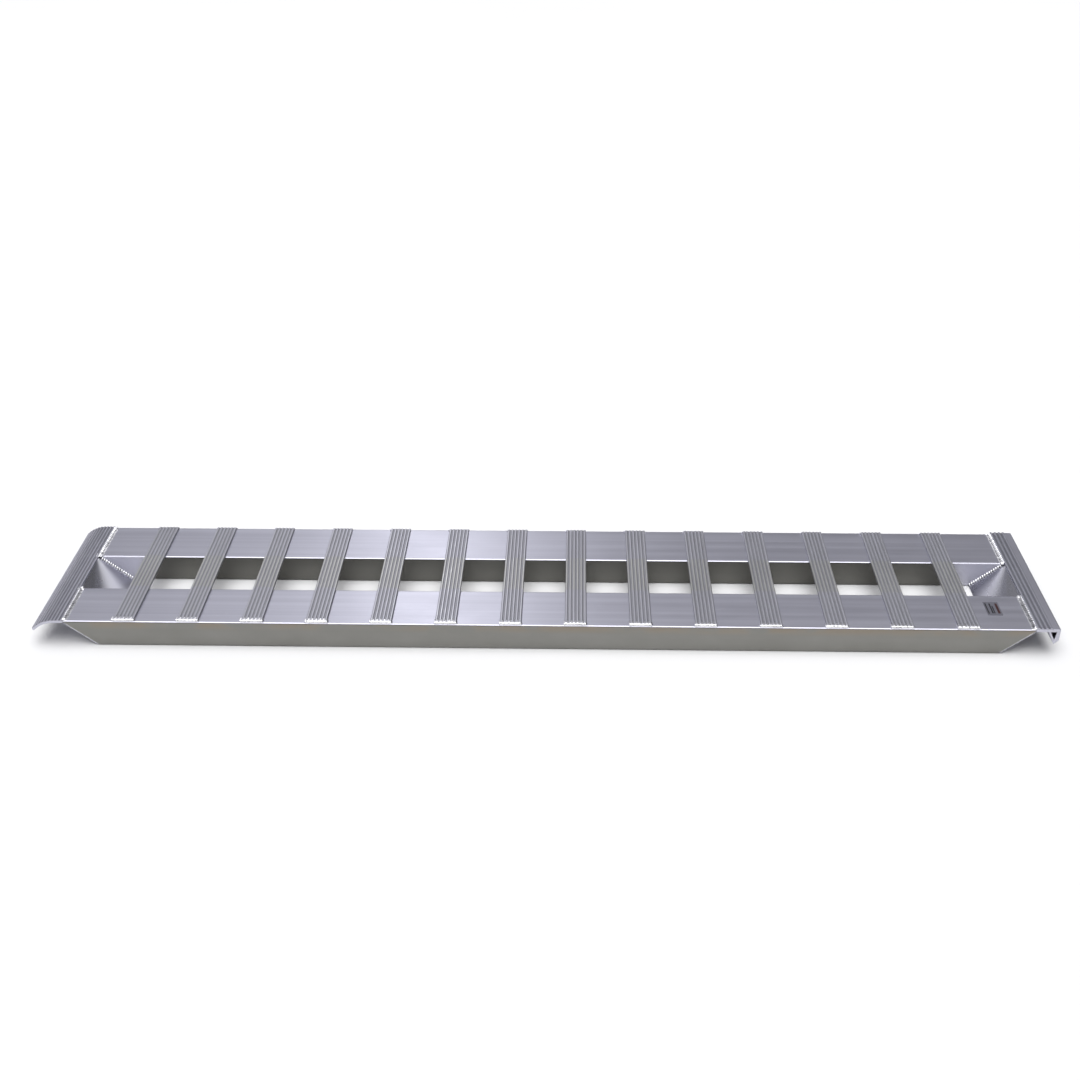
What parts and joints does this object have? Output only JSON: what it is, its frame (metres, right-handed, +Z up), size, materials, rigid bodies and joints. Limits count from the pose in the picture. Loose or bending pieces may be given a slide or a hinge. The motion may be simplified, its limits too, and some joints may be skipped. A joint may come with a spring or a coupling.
{
  "type": "loading ramp",
  "caption": "Straight welded aluminium loading ramp: two hollow rails, ribbed cross rungs, a curved ribbed approach lip and a hook bar that drops over a trailer's edge.",
  "frame": {"origin": "middle of the bounding box in plan, on the ground plane that the flat undersides of the rails rest on", "axes": "+X along the ramp from the approach lip to the hook, +Y across it to the left rail, +Z up"},
  "size_m": [2.142, 0.381, 0.0658],
  "materials": {
    "rail_alloy": "mill-finish extrusion, satin, with fine streaks along its length",
    "tread_alloy": "ribbed mill-finish extrusion, dull satin",
    "end_bar_alloy": "ribbed mill-finish extrusion, dull satin",
    "end_plate_alloy": "smooth rolled plate, semi-bright",
    "weld_bead": "bright rippled weld bead",
    "label_foil": "printed foil label with plain bars, no wording"
  },
  "bodies": {
    "root": {"left_rail": "rail_alloy", "right_rail": "rail_alloy", "rung_01": "tread_alloy", "rung_02": "tread_alloy", "rung_03": "tread_alloy", "rung_04": "tread_alloy", "rung_05": "tread_alloy", "rung_06": "tread_alloy", "rung_07": "tread_alloy", "rung_08": "tread_alloy", "rung_09": "tread_alloy", "rung_10": "tread_alloy", "rung_11": "tread_alloy", "rung_12": "tread_alloy", "rung_13": "tread_alloy", "rung_14": "tread_alloy", "approach_lip": "end_bar_alloy", "hook_bar": "end_bar_alloy", "lip_end_plate": "end_plate_alloy", "hook_end_plate": "end_plate_alloy", "left_rung_welds": "weld_bead", "right_rung_welds": "weld_bead", "lip_welds": "weld_bead", "hook_welds": "weld_bead", "lip_plate_welds": "weld_bead", "hook_plate_welds": "weld_bead", "rating_label": "label_foil"}
  },
  "joints": []
}
